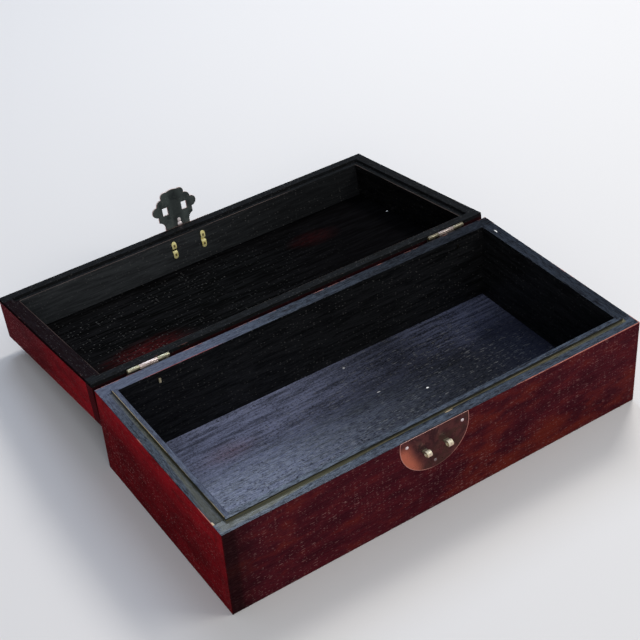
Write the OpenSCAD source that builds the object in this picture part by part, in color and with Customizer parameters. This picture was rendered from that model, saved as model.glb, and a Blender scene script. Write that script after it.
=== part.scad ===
// Hardwood box with a fold-back lid, brass butt hinges and a copper hasp.
// It stands open: the lid has swung right back and rests against the body.
// Origin at the centre of the body's underside, X along the width, front towards -Y.
// The lid and the flap are drawn as they lie when shut, then swung open about the hinge axis.

/* [Box] */
// Width of the box
box_w = 360; // [280:1:480]
// Depth of the box, front to back
box_d = 181; // [140:1:260]
// Height of the body up to the ledge that the lid meets
body_h = 75; // [55:0.5:120]
// Height of the lid, rim to top
lid_h = 36.5; // [32:0.5:60]
// Thickness of the side boards
wall_t = 13; // [11:0.5:18]
// Depth of the lapped corner joint
corner_lap = 2; // [1:0.5:5]

/* [Rim] */
// Width of the outer ledge, outside the raised lip
ledge_w = 8.8; // [6:0.1:9.5]
// Height of the raised lip
lip_h = 2.4; // [1.5:0.1:4]
// Space between the lip's side and the lid's rebate
lip_fit = 0.3; // [0.2:0.05:0.8]
// Space above the lip when the lid is shut
lip_headroom = 0.5; // [0.3:0.1:1]
// Space between ledge and lid rim when shut
rim_gap = 0.2; // [0.1:0.05:0.5]

/* [Panels] */
// Thickness of the bottom panel's tongue, which runs in the groove
bottom_t = 6; // [4:0.5:10]
// Depth of the bottom panel below its tongue, down to the table
bottom_rise = 4; // [2:0.5:8]
// Depth of the groove that holds the bottom panel
groove_depth = 5; // [3:0.5:7]
// Room left at the bottom panel's edges for the wood to move
groove_play = 0.5; // [0.2:0.1:1]
// Thickness of the lid's top panel
top_t = 4; // [3:0.5:6]
// Width of the seat under the top panel's edge
top_seat = 6; // [3:0.5:8]
// Space round the top panel's edge
top_play = 0.1; // [0.05:0.05:0.5]

/* [Hinges] */
// Distance of the left hinge's middle from the box's left end
left_hinge_in = 46; // [25:1:90]
// Distance of the right hinge's middle from the box's right end
right_hinge_in = 39; // [25:1:90]
// Length of a hinge
hinge_len = 35; // [28:0.5:45]
// Length of the middle knuckle
mid_knuckle = 15; // [9:0.5:18]
// Radius of a knuckle
knuckle_r = 1.6; // [1.4:0.1:2.2]
// Radius of the hinge pin
hinge_pin_r = 0.8; // [0.6:0.1:1.1]
// Space round a turning pin
pin_play = 0.05; // [0.02:0.01:0.1]
// Space between neighbouring knuckles
knuckle_gap = 0.2; // [0.1:0.05:0.4]
// Space between the knuckles and the other leaf's end
knuckle_clear = 0.3; // [0.2:0.05:0.6]
// Distance of the hinge axis from the back face
hinge_out = 2.7; // [2.4:0.1:3]
// Height of the hinge axis above the ledge
hinge_rise = 1.1; // [0.6:0.1:1.4]
// Reach of a leaf from the hinge axis
leaf_reach = 12.5; // [10:0.5:18]
// Thickness of a leaf
leaf_t = 1; // [0.8:0.1:1.2]
// Space left where the open lid stops against the back board
stop_gap = 0.2; // [0.1:0.05:0.5]

/* [Faceplate] */
// Place of the hasp along the front, from the middle
hasp_x = -10; // [-60:1:60]
// Radius of the round faceplate
plate_r = 29.8; // [28:0.2:31]
// Distance of the faceplate's centre below the joint
plate_drop = 6.2; // [4:0.2:8]
// Thickness of the faceplate
plate_t = 1.2; // [1:0.1:1.6]
// How far the faceplate stands out of the wood
plate_proud = 0.4; // [0.2:0.1:0.6]
// Space round the faceplate in its recess
plate_fit = 0.1; // [0.05:0.05:0.3]
// Inset of the faceplate's nails from its edge
nail_inset = 6; // [5:0.2:7]
// Height of the upper and lower nails' rows from the joint
nail_row = 6; // [4:0.2:8]

/* [Nails] */
// Radius of a nail's shank
nail_r = 0.6; // [0.4:0.1:0.8]
// Length of a nail in the wood
nail_len = 8; // [5:0.5:10]
// Radius of a nail's domed head
nail_head_r = 1.4; // [1.1:0.1:1.8]
// Height of a faceplate nail's domed head
nail_head_h = 0.8; // [0.5:0.1:0.9]
// Height of a hinge nail's domed head
hinge_head_h = 0.4; // [0.2:0.1:0.5]
// Space round a nail or strap in its hole
hole_fit = 0.05; // [0.03:0.01:0.1]
// Length of the clinched tip inside the back board
clinch_len = 2.8; // [2.4:0.1:5]
// Width of the clinched tip
clinch_w = 1.6; // [1.4:0.1:2]

/* [Split pins] */
// Thickness of the brass strap
strap_t = 0.8; // [0.6:0.1:1]
// Width of the brass strap
strap_w = 4.2; // [3:0.1:4.4]
// Length of a staple's leg, folded flat on the inside
staple_leg = 6.5; // [4:0.1:8]
// Length of an eye's leg, folded flat on the inside
eye_leg = 8; // [5:0.1:9]
// Distance between the two staples on the body
staple_span = 18.4; // [17:0.2:19]
// Depth of the staples below the joint
staple_drop = 16.2; // [14:0.1:18]
// Distance of a staple's hole in front of the wood
staple_out = 4.7; // [4.6:0.1:6]
// Radius of a staple's hole, for the padlock
staple_hole_r = 1.6; // [1.2:0.1:1.8]
// Radius of a staple's outer curve
staple_r = 2.6; // [2.4:0.1:2.8]
// Distance between the two eyes on the lid
eye_span = 28.4; // [28.4:0.2:32]
// Height of the flap's pin above the joint
eye_rise = 13.7; // [12.5:0.1:15]
// Distance of the flap's pin in front of the wood
eye_out = 2.7; // [2.7:0.1:3.2]
// Radius of an eye's outer curve
eye_r = 2.2; // [1.8:0.1:2.2]

/* [Flap] */
// Radius of the flap's pin
flap_pin_r = 0.9; // [0.7:0.1:1]
// How far the flap's pin stands out of each eye
flap_pin_end = 0.8; // [0.4:0.1:2]
// Radius of the rolled edge round the pin
roll_r = 1.9; // [1.6:0.1:1.9]
// Thickness of the flap
flap_t = 1.2; // [1:0.1:1.4]
// Distance of the flap's inner face in front of the wood
flap_stand = 1.6; // [1.5:0.1:1.8]
// Width of the flap's neck
neck_w = 23.6; // [20:0.2:23.6]
// Radius of the curve where the neck flares out
flare_r = 6; // [4:0.5:10]
// Distance from the pin to where the flare starts
flare_start = 15.4; // [10:0.1:17]
// Radius of the flap's rounded tip
tip_r = 13; // [11:0.5:14]
// Distance from the pin to the flap's tip
flap_len = 48; // [46:0.1:52]
// Radius of the two small curls beside the tip
curl_r = 4.2; // [3:0.1:5]
// Place of the small curls, out from the middle
curl_x = 7; // [6:0.1:9]
// Distance of the small curls back from the tip
curl_back = 4.9; // [4:0.1:6]
// Radius of the shoulders between the curls and the lobes
shoulder_r = 5.2; // [4.5:0.1:6]
// Place of the shoulders, out from the middle
shoulder_x = 11; // [10:0.1:12]
// Distance of the shoulders back from the tip
shoulder_back = 11.6; // [10:0.1:13]
// Radius of the side lobes
lobe_r = 4.8; // [4.5:0.1:6]
// Place of the side lobes, out from the middle
lobe_x = 16.3; // [15:0.1:17.5]
// Distance of the side lobes back from the tip
lobe_back = 16.6; // [15:0.1:18]
// Space at each side of a staple in its slot
slot_side = 0.3; // [0.2:0.05:0.5]
// Space above and below a staple in its slot
slot_end = 0.8; // [0.7:0.1:1]
// Distance from the flap's pin to the pull knob
knob_at = 16.4; // [10:0.1:18]
// Place of the pull knob to the right of the hasp's middle
knob_x = 1.8; // [-3:0.1:3]
// Radius of the pull knob
knob_r = 2.8; // [2:0.1:3.4]
// Height of the pull knob
knob_h = 5; // [3.5:0.1:5.5]
// Radius of the pull knob's stem
stem_r = 1.1; // [0.8:0.1:1.2]
// Length of the knob's split tail, each way
tail_len = 4; // [2:0.1:5]

/* [Hidden] */
$fn = 48;
// Reach of a cut past the face that it opens
over = 1;
// Steps in the profile of a domed head
dome_steps = 5;

// Faces and levels of the shut box
front_y = -box_d / 2;
back_y = box_d / 2;
rim_z = body_h + rim_gap;
lid_top_z = rim_z + lid_h;
rebate_w = ledge_w - lip_fit;
rebate_h = lip_h - rim_gap + lip_headroom;

// Hinge axis, and the angle at which the lid's top edge meets the back board
hinge_y = back_y + hinge_out;
hinge_z = body_h + hinge_rise;
hinge_xs = [-box_w / 2 + left_hinge_in, box_w / 2 - right_hinge_in];
stop_h = lid_top_z - hinge_z;
stop_r = sqrt(stop_h * stop_h + hinge_out * hinge_out);
open_angle = 180 + atan(hinge_out / stop_h) + asin((hinge_out - stop_gap) / stop_r);
leaf_start = knuckle_r + knuckle_clear;
leaf_nail = (leaf_start + leaf_reach) / 2;
side_nail_x = (mid_knuckle + hinge_len) / 4;

// Hasp: centres of the faceplate, staples, flap pin and knob
plate_z = body_h - plate_drop;
staple_z = body_h - staple_drop;
pin_z = body_h + eye_rise;
nail_reach = plate_r - nail_inset;
slot_at = eye_rise + staple_drop;
slot_w = strap_w + 2 * slot_side;
slot_h = 2 * (staple_r + slot_end);
flap_in = eye_out - flap_stand;

// Places of the faceplate's nails, [out from the hasp's middle, height]
function row_nail(z) = sqrt(nail_reach * nail_reach - (z - plate_z) * (z - plate_z));
body_nails = [
    [-row_nail(body_h - nail_row), body_h - nail_row],
    [row_nail(body_h - nail_row), body_h - nail_row],
    [0, plate_z - nail_reach]
];
lid_nails = [
    [-row_nail(rim_z + nail_row), rim_z + nail_row],
    [row_nail(rim_z + nail_row), rim_z + nail_row],
    [0, plate_z + nail_reach]
];

wood = [0.16, 0.09, 0.08];
dark_wood = [0.13, 0.1, 0.11];
copper = [0.5, 0.3, 0.24];
bronze = [0.3, 0.33, 0.31];
brass = [0.83, 0.76, 0.5];
pale_brass = [0.84, 0.81, 0.7];
silver = [0.8, 0.78, 0.76];

// Swings whatever is drawn in the shut lid's place back to the open pose
module with_lid_open() {
    translate([0, hinge_y, hinge_z])
        rotate([-open_angle, 0, 0])
            translate([0, -hinge_y, -hinge_z])
                children();
}

// A block centred on the box in plan, inset from its outer faces
module inset_block(inset, z0, z1) {
    translate([-box_w / 2 + inset, -box_d / 2 + inset, z0])
        cube([box_w - 2 * inset, box_d - 2 * inset, z1 - z0]);
}

// A bar along X with round section
module bar_x(r, length) {
    rotate([0, 90, 0]) cylinder(r = r, h = length, center = true);
}

// A bar along Y with round section, from y0 to y1
module bar_y(r, y0, y1) {
    translate([0, y1, 0]) rotate([90, 0, 0]) cylinder(r = r, h = y1 - y0);
}

// Plan of the front board, which laps over the ends of the side boards
module front_plan() {
    polygon([
        [-box_w / 2, front_y],
        [box_w / 2, front_y],
        [box_w / 2, front_y + wall_t - corner_lap],
        [box_w / 2 - wall_t, front_y + wall_t - corner_lap],
        [box_w / 2 - wall_t, front_y + wall_t],
        [-box_w / 2 + wall_t, front_y + wall_t],
        [-box_w / 2 + wall_t, front_y + wall_t - corner_lap],
        [-box_w / 2, front_y + wall_t - corner_lap]
    ]);
}

// Plan of the left board
module left_plan() {
    side_len = box_d - 2 * (wall_t - corner_lap);
    translate([-box_w / 2, -side_len / 2]) square([wall_t, side_len]);
}

// A body board on the given plan, with its raised lip and its groove
module body_board() {
    difference() {
        linear_extrude(body_h + lip_h) children();
        difference() {
            inset_block(-over, body_h, body_h + lip_h + over);
            inset_block(ledge_w, body_h - over, body_h + lip_h + 2 * over);
        }
        inset_block(wall_t - groove_depth, bottom_rise, bottom_rise + bottom_t);
    }
}

// A lid board on the given plan, with its rebate and the top panel's seat
module lid_board() {
    difference() {
        translate([0, 0, rim_z]) linear_extrude(lid_h) children();
        inset_block(rebate_w, rim_z - over, rim_z + rebate_h);
        inset_block(wall_t - top_seat, lid_top_z - top_t, lid_top_z + over);
    }
}

// The round faceplate's disc, larger by the given amount
module plate_disc(grow, y0, y1) {
    translate([hasp_x, 0, plate_z]) bar_y(plate_r + grow, y0, y1, $fn = 96);
}

// Holes for nails driven in from the front
module front_nail_holes(places) {
    for (p = places)
        translate([hasp_x + p[0], 0, p[1]])
            bar_y(nail_r + hole_fit, front_y - over, front_y + nail_len + hole_fit);
}

// Slots for the two legs of each strap, through plate and board
module strap_slots(span, z) {
    for (side = [-1, 1])
        translate([
            hasp_x + side * span / 2 - strap_w / 2 - hole_fit,
            front_y - over,
            z - strap_t - hole_fit
        ])
            cube([strap_w + 2 * hole_fit, wall_t + 2 * over, 2 * (strap_t + hole_fit)]);
}

// Side profile of a domed head whose base lies at height 0, from its top to its edge
function dome_profile(r, h) =
    let (dome_r = (r * r + h * h) / (2 * h), half_angle = asin(r / dome_r))
    [for (i = [0 : dome_steps])
        let (a = half_angle * i / dome_steps)
        [dome_r * sin(a), dome_r - h - dome_r * cos(a)]];

// A stud along Y: its domed head looks towards -Y from y = 0, its shank runs towards +Y
module stud(head_r, head_h, shank_r, shank_len) {
    rotate([-90, 0, 0])
        rotate_extrude()
            polygon(concat(
                dome_profile(head_r, head_h),
                [[shank_r, 0], [shank_r, shank_len], [0, shank_len]]
            ));
}

// Faceplate nails at the given places
module front_nails(places) {
    for (p = places)
        translate([hasp_x + p[0], front_y - plate_proud, p[1]])
            stud(nail_head_r, nail_head_h, nail_r, plate_proud + nail_len);
}

// A strap bent round into an eye, its two legs driven through the board and folded flat
module split_pin(outer_r, hole_r, out, leg) {
    difference() {
        union() {
            translate([0, -out, 0]) bar_x(outer_r, strap_w);
            translate([-strap_w / 2, -out, -strap_t]) cube([strap_w, out + wall_t + strap_t, 2 * strap_t]);
            translate([0, wall_t, 0]) folded_legs(leg);
        }
        translate([0, -out, 0]) bar_x(hole_r, strap_w + 2 * over);
    }
}

// Two legs folded up and down on a face that looks towards +Y, with rounded ends
module folded_legs(reach) {
    for (side = [-1, 1]) {
        translate([-strap_w / 2, 0, side * (reach - strap_w / 2) / 2 - (reach - strap_w / 2) / 2])
            cube([strap_w, strap_t, reach - strap_w / 2]);
        translate([0, 0, side * (reach - strap_w / 2)]) bar_y(strap_w / 2, 0, strap_t);
    }
}

module front_board() {
    color(wood) difference() {
        body_board() front_plan();
        intersection() {
            plate_disc(plate_fit, front_y - over, front_y + plate_t - plate_proud);
            inset_block(-over, 0, body_h + over);
        }
        front_nail_holes(body_nails);
        strap_slots(staple_span, staple_z);
    }
}

module back_board() {
    color(wood) difference() {
        mirror([0, 1, 0]) body_board() front_plan();
        leaf_nail_holes(-1, true);
    }
}

module left_board() {
    color(wood) body_board() left_plan();
}

module right_board() {
    color(wood) mirror([1, 0, 0]) body_board() left_plan();
}

module bottom_panel() {
    color(dark_wood) {
        inset_block(wall_t - groove_depth + groove_play, bottom_rise, bottom_rise + bottom_t);
        inset_block(wall_t + groove_play, 0, bottom_rise + bottom_t);
    }
}

module lid_front_board() {
    color(wood) with_lid_open() difference() {
        lid_board() front_plan();
        intersection() {
            plate_disc(plate_fit, front_y - over, front_y + plate_t - plate_proud);
            inset_block(-over, rim_z - over, lid_top_z);
        }
        front_nail_holes(lid_nails);
        strap_slots(eye_span, pin_z);
    }
}

module lid_back_board() {
    color(wood) with_lid_open() difference() {
        mirror([0, 1, 0]) lid_board() front_plan();
        leaf_nail_holes(1, false);
    }
}

module lid_left_board() {
    color(wood) with_lid_open() lid_board() left_plan();
}

module lid_right_board() {
    color(wood) with_lid_open() mirror([1, 0, 0]) lid_board() left_plan();
}

module lid_top_panel() {
    color(dark_wood) with_lid_open()
        inset_block(wall_t - top_seat + top_play, lid_top_z - top_t, lid_top_z);
}

module hasp_plate() {
    color(copper) difference() {
        intersection() {
            plate_disc(0, front_y - plate_proud, front_y + plate_t - plate_proud);
            inset_block(-over, 0, body_h);
        }
        front_nail_holes(body_nails);
        strap_slots(staple_span, staple_z);
    }
}

module lid_plate() {
    color(copper) with_lid_open() difference() {
        intersection() {
            plate_disc(0, front_y - plate_proud, front_y + plate_t - plate_proud);
            inset_block(-over, rim_z, lid_top_z);
        }
        front_nail_holes(lid_nails);
        strap_slots(eye_span, pin_z);
    }
}

module hasp_plate_nails() {
    color(silver) front_nails(body_nails);
}

module lid_plate_nails() {
    color(silver) with_lid_open() front_nails(lid_nails);
}

module staple(side) {
    color(brass)
        translate([hasp_x + side * staple_span / 2, front_y, staple_z])
            split_pin(staple_r, staple_hole_r, staple_out, staple_leg);
}

module left_staple() {
    staple(-1);
}

module right_staple() {
    staple(1);
}

module flap_eye(side) {
    color(brass) with_lid_open()
        translate([hasp_x + side * eye_span / 2, front_y, pin_z])
            split_pin(eye_r, flap_pin_r + pin_play, eye_out, eye_leg);
}

module left_flap_eye() {
    flap_eye(-1);
}

module right_flap_eye() {
    flap_eye(1);
}

module flap_pin() {
    color(brass) with_lid_open()
        translate([hasp_x, front_y - eye_out, pin_z])
            bar_x(flap_pin_r, eye_span + strap_w + 2 * flap_pin_end);
}

// Holes for the nails of both hinges; side is -1 for the body's leaves and 1 for the lid's
module leaf_nail_holes(side, through) {
    for (x = hinge_xs, step = [-1, 0, 1])
        translate([x + step * side_nail_x, 0, hinge_z + side * leaf_nail])
            bar_y(
                nail_r + hole_fit,
                back_y - (through && step == 0 ? wall_t + over : nail_len + hole_fit),
                back_y + leaf_t + over
            );
}

// Nails of both hinges, with domed heads that look towards +Y
module leaf_nails(side, through) {
    for (x = hinge_xs, step = [-1, 0, 1])
        translate([x + step * side_nail_x, back_y + leaf_t, hinge_z + side * leaf_nail]) {
            mirror([0, 1, 0])
                stud(
                    nail_head_r,
                    hinge_head_h,
                    nail_r,
                    leaf_t + (through && step == 0 ? wall_t + nail_r : nail_len)
                );
            if (through && step == 0)
                translate([-clinch_w / 2, -leaf_t - wall_t - 2 * nail_r, -clinch_w / 2])
                    cube([clinch_w, 2 * nail_r, clinch_w / 2 + clinch_len]);
        }
}

// A leaf on the back face, with knuckles between the given places along the hinge axis
module leaf(x, side, knuckles, through) {
    difference() {
        translate([x, hinge_y, hinge_z]) {
            translate([-hinge_len / 2, -hinge_out, side > 0 ? leaf_start : -leaf_reach])
                cube([hinge_len, leaf_t, leaf_reach - leaf_start]);
            for (k = knuckles)
                translate([(k[0] + k[1]) / 2, 0, 0]) knuckle(k[1] - k[0], side);
        }
        leaf_nail_holes(side, through);
    }
}

// One knuckle with the strap that joins it to its leaf, cranked out at its root
module knuckle(length, side) {
    strap_h = leaf_start + leaf_t;
    root_d = hinge_out - knuckle_r + leaf_t;
    difference() {
        union() {
            bar_x(knuckle_r, length);
            translate([-length / 2, -knuckle_r, side > 0 ? 0 : -strap_h])
                cube([length, leaf_t, strap_h]);
            translate([-length / 2, -hinge_out, side > 0 ? leaf_start : -strap_h])
                cube([length, root_d, leaf_t]);
        }
        bar_x(hinge_pin_r + pin_play, length + 2 * over);
    }
}

module body_leaf(x) {
    color(pale_brass)
        leaf(x, -1, [[-mid_knuckle / 2, mid_knuckle / 2]], true);
}

module lid_leaf(x) {
    inner = mid_knuckle / 2 + knuckle_gap;
    color(brass) with_lid_open()
        leaf(x, 1, [[-hinge_len / 2, -inner], [inner, hinge_len / 2]], false);
}

module hinge_pin(x) {
    color(brass) translate([x, hinge_y, hinge_z]) bar_x(hinge_pin_r, hinge_len);
}

module left_hinge_body_leaf() {
    body_leaf(hinge_xs[0]);
}

module right_hinge_body_leaf() {
    body_leaf(hinge_xs[1]);
}

module left_hinge_pin() {
    hinge_pin(hinge_xs[0]);
}

module right_hinge_pin() {
    hinge_pin(hinge_xs[1]);
}

module left_hinge_lid_leaf() {
    lid_leaf(hinge_xs[0]);
}

module right_hinge_lid_leaf() {
    lid_leaf(hinge_xs[1]);
}

module hinge_body_nails() {
    color(brass) leaf_nails(-1, true);
}

module hinge_lid_nails() {
    color(brass) with_lid_open() leaf_nails(1, false);
}

// Outline of the flap: pin at the origin, tip towards +Y
module flap_outline() {
    difference() {
        union() {
            difference() {
                translate([-lobe_x, 0]) square([2 * lobe_x, flap_len - lobe_back]);
                for (side = [-1, 1]) {
                    translate([side * (neck_w / 2 + flare_r), flare_start]) circle(r = flare_r);
                    translate([side * (neck_w / 2 + lobe_x) - lobe_x, -over])
                        square([2 * lobe_x, flare_start + over]);
                }
            }
            translate([0, flap_len - tip_r]) circle(r = tip_r);
            for (side = [-1, 1]) {
                translate([side * curl_x, flap_len - curl_back]) circle(r = curl_r);
                translate([side * shoulder_x, flap_len - shoulder_back]) circle(r = shoulder_r);
                translate([side * lobe_x, flap_len - lobe_back]) circle(r = lobe_r);
            }
        }
        for (side = [-1, 1])
            translate([side * staple_span / 2 - slot_w / 2, slot_at - slot_h / 2])
                square([slot_w, slot_h]);
        translate([knob_x, knob_at]) circle(r = stem_r + hole_fit);
    }
}

module hasp_flap() {
    color(bronze) with_lid_open()
        translate([hasp_x, front_y - eye_out, pin_z])
            difference() {
                union() {
                    bar_x(roll_r, neck_w);
                    translate([0, flap_in, 0])
                        rotate([90, 0, 0])
                            mirror([0, 1, 0])
                                linear_extrude(flap_t) flap_outline();
                }
                bar_x(flap_pin_r + pin_play, neck_w + 2 * over);
            }
}

module flap_knob() {
    button_h = knob_h / 2;
    button_y = -flap_t - knob_h + button_h;
    color(silver) with_lid_open()
        translate([hasp_x + knob_x, front_y - flap_stand, pin_z - knob_at]) {
            translate([0, button_y, 0]) stud(knob_r, button_h, stem_r, strap_t / 2 - button_y);
            folded_legs(tail_len);
        }
}

front_board();
back_board();
left_board();
right_board();
bottom_panel();
hasp_plate();
hasp_plate_nails();
left_staple();
right_staple();
left_hinge_body_leaf();
right_hinge_body_leaf();
left_hinge_pin();
right_hinge_pin();
hinge_body_nails();
lid_front_board();
lid_back_board();
lid_left_board();
lid_right_board();
lid_top_panel();
lid_plate();
lid_plate_nails();
left_flap_eye();
right_flap_eye();
flap_pin();
left_hinge_lid_leaf();
right_hinge_lid_leaf();
hinge_lid_nails();
hasp_flap();
flap_knob();
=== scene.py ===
"""Looks of the fold-back hardwood box with its copper hasp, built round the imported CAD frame."""
import math

import bmesh
import bpy
from mathutils import Matrix, Vector


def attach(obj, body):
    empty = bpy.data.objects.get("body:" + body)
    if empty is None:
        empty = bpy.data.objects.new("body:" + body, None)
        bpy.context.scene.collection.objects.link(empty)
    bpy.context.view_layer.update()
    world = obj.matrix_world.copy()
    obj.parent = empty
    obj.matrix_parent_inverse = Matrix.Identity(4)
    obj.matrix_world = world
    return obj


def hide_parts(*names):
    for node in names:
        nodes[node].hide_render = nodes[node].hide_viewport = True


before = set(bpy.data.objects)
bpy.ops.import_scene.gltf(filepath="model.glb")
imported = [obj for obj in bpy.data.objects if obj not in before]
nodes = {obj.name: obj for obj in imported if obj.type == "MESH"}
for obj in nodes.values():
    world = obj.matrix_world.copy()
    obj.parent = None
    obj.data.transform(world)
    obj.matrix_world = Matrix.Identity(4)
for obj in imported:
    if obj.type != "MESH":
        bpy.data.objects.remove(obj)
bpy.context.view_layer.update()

MM = 0.001
# Sizes repeated from the part's source, in millimetres
BOX_W, BOX_D, BODY_H, LID_H, WALL = 360.0, 181.0, 75.0, 36.5, 13.0
LEDGE, LIP_H, RIM_Z, REBATE_H = 8.8, 2.4, 75.2, 2.7
HASP_X, PLATE_R, PLATE_Z = -10.0, 29.8, 68.8
STRAP_T, STRAP_W = 0.8, 4.2
STAPLE_SPAN, STAPLE_Z, STAPLE_OUT, STAPLE_R, STAPLE_HOLE, STAPLE_LEG = 18.4, 58.8, 4.7, 2.6, 1.6, 6.5
EYE_SPAN, PIN_Z, EYE_OUT, EYE_R, EYE_HOLE, EYE_LEG = 28.4, 88.7, 2.7, 2.2, 0.95, 8.0
KNOB_AT, KNOB_X, KNOB_R, KNOB_H, STEM_R, TAIL_LEN = 16.4, 1.8, 2.8, 5.0, 1.1, 4.0
FLAP_STAND, FLAP_T = 1.6, 1.2
HINGE_Y, HINGE_Z, HINGE_LEN, MID_KNUCKLE = 93.2, 76.1, 35.0, 15.0
HINGE_XS = {"left": -134.0, "right": 141.0}
KNUCKLE_R, KNUCKLE_HOLE, KNUCKLE_GAP = 1.6, 0.85, 0.2
LEAF_T, LEAF_START, LEAF_REACH = 1.0, 1.9, 12.5
OPEN_ANGLE = math.radians(188.3525)
# Places that follow from them
FRONT_Y, BACK_Y = -BOX_D / 2, BOX_D / 2
LIP_Z, REBATE_Z, LID_TOP = BODY_H + LIP_H, RIM_Z + REBATE_H, RIM_Z + LID_H

# Carries the shut lid's place to the open one, in metres
hinge = Vector((0, HINGE_Y, HINGE_Z)) * MM
LID_OPEN = Matrix.Translation(hinge) @ Matrix.Rotation(-OPEN_ANGLE, 4, "X") @ Matrix.Translation(-hinge)
LID_SHUT = LID_OPEN.inverted()

SRGB_KNEE, SRGB_SLOPE, SRGB_SHIFT, SRGB_POWER = 0.04045, 12.92, 0.055, 2.4


def linear(*screen):
    """A colour given as it shows on screen, 0 to 255."""
    return tuple(((c / 255 + SRGB_SHIFT) / (1 + SRGB_SHIFT)) ** SRGB_POWER if c / 255 > SRGB_KNEE
                 else c / 255 / SRGB_SLOPE for c in screen) + (1.0,)


# Masks of single faces fade out over this width, and an outer face's mask goes this deep
FADE, SKIN = 0.2, 0.3


class Graph:
    """A node tree, built node by node."""

    def __init__(self, tree):
        self.tree = tree

    def put(self, socket, value):
        if isinstance(value, bpy.types.NodeSocket):
            self.tree.links.new(value, socket)
        else:
            socket.default_value = value

    def node(self, kind, inputs=(), **settings):
        made = self.tree.nodes.new("ShaderNode" + kind)
        for name, value in settings.items():
            setattr(made, name, value)
        for name, value in dict(inputs).items():
            self.put(made.inputs[name], value)
        return made

    def math(self, operation, *values, clamp=False):
        made = self.node("Math", operation=operation, use_clamp=clamp)
        for i, value in enumerate(values):
            self.put(made.inputs[i], value)
        return made.outputs[0]

    def plus(self, first, second):
        return self.math("ADD", first, second)

    def minus(self, first, second):
        return self.math("SUBTRACT", first, second)

    def size(self, value):
        return self.math("ABSOLUTE", value)

    def scaled(self, value, gain, base, clamp=False):
        """The value times gain, plus base."""
        return self.math("MULTIPLY_ADD", value, gain, base, clamp=clamp)

    def times(self, *values):
        result = values[0]
        for value in values[1:]:
            result = self.math("MULTIPLY", result, value)
        return result

    def most(self, *values):
        result = values[0]
        for value in values[1:]:
            result = self.math("MAXIMUM", result, value)
        return result

    def vector(self, operation, *values):
        made = self.node("VectorMath", operation=operation)
        for i, value in enumerate(values):
            self.put(made.inputs[i], value)
        return made.outputs["Value" if operation in ("LENGTH", "DOT_PRODUCT") else 0]

    def split(self, vector):
        return tuple(self.node("SeparateXYZ", {"Vector": vector}).outputs)

    def ramp(self, value, low, high, start, stop):
        """Start below low, stop above high and smooth between."""
        return self.node("MapRange", {"Value": value, "From Min": low, "From Max": high, "To Min": start,
                                      "To Max": stop}, interpolation_type="SMOOTHSTEP").outputs[0]

    def step(self, value, low, high):
        """0 below low, 1 above high and smooth between; falls instead where low is above high."""
        return self.ramp(value, low, high, 0.0, 1.0) if low < high else self.ramp(value, high, low, 1.0, 0.0)

    def above(self, value, place, fade=FADE):
        """1 above the place, fading out below it."""
        return self.step(value, place - fade, place)

    def below(self, value, place, fade=FADE):
        """1 below the place, fading out above it."""
        return self.step(value, place + fade, place)

    def band(self, value, low, high, soft):
        """1 between low and high, fading out over the given width on either side."""
        return self.times(self.above(value, low, soft), self.below(value, high, soft))

    def noise(self, vector, scale, detail=4.0, roughness=0.55, distortion=0.0):
        made = self.node("TexNoise", {"Vector": self.vector("MULTIPLY", vector, scale), "Scale": 1.0,
                                      "Detail": detail, "Roughness": roughness, "Distortion": distortion})
        return made.outputs["Fac"]

    def cells(self, vector, scale):
        """Distance from the nearest of the scattered points, and a chance value of that point."""
        made = self.node("TexVoronoi", {"Vector": self.vector("MULTIPLY", vector, scale), "Scale": 1.0})
        chance = self.node("SeparateColor", {"Color": made.outputs["Color"]}).outputs[0]
        return made.outputs["Distance"], chance

    def mix(self, factor, first, second):
        made = self.node("Mix", data_type="RGBA")
        # Its sockets repeat their names for every data type, so the colour ones go by number
        self.put(made.inputs[0], factor)
        self.put(made.inputs[6], first)
        self.put(made.inputs[7], second)
        return made.outputs[2]

    def bump(self, height, distance, strength, normal=None):
        inputs = {"Height": height, "Distance": distance, "Strength": strength}
        if normal is not None:
            inputs["Normal"] = normal
        return self.node("Bump", inputs).outputs[0]


class Shader(Graph):
    """One procedural material."""

    def __init__(self, name):
        self.material = bpy.data.materials.new(name)
        self.material.use_nodes = True
        super().__init__(self.material.node_tree)
        self.bsdf = self.tree.nodes["Principled BSDF"]

    def set(self, **values):
        for name, value in values.items():
            self.put(self.bsdf.inputs[name.replace("_", " ")], value)

    def place(self, on_lid):
        """Where a point lies on the shut box, in millimetres."""
        point = self.node("TexCoord").outputs["Object"]
        if on_lid:
            turned = self.node("Mapping", {"Vector": point}, vector_type="POINT")
            turned.inputs["Location"].default_value = LID_SHUT.to_translation()
            turned.inputs["Rotation"].default_value = LID_SHUT.to_euler()
            point = turned.outputs[0]
        return self.vector("MULTIPLY", point, (1 / MM,) * 3)


# Colours of the wood: red-brown outside, nearly black inside, slate-grey on the rims and the floor
OUT_DARK, OUT_WARM = linear(60, 19, 29), linear(84, 27, 36)
OUT_RUST, OUT_BLACK = linear(108, 40, 28), linear(20, 11, 12)
# The left faces' crimson pair: a painted reflection
END_REFLECTION_DARK, END_REFLECTION_RED = linear(126, 12, 20), linear(176, 20, 32)
END_BLACK, END_RIM = linear(48, 8, 12), linear(24, 14, 15)
IN_DARK, IN_PALE, IN_RED = linear(7, 7, 7), linear(22, 22, 23), linear(86, 26, 28)
INSIDE, DARK_WALL = (IN_DARK, IN_PALE), (linear(12, 13, 14), linear(30, 31, 33))
# The lid's far wall: a lighter copy of the inner wood, painted light
LIT_LID_WALL = linear(46, 48, 50), linear(62, 65, 67)
SLATE_DARK, SLATE, SLATE_PALE = linear(8, 8, 11), linear(47, 50, 67), linear(98, 103, 128)
SLATE_BRIGHT, SLATE_RED = linear(176, 182, 216), linear(130, 98, 110)
RIM_DARK, RIM_SLATE = linear(26, 27, 34), linear(64, 74, 88)
LINE_DARK, LID_RIM = linear(20, 22, 18), linear(22, 22, 20)
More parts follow.
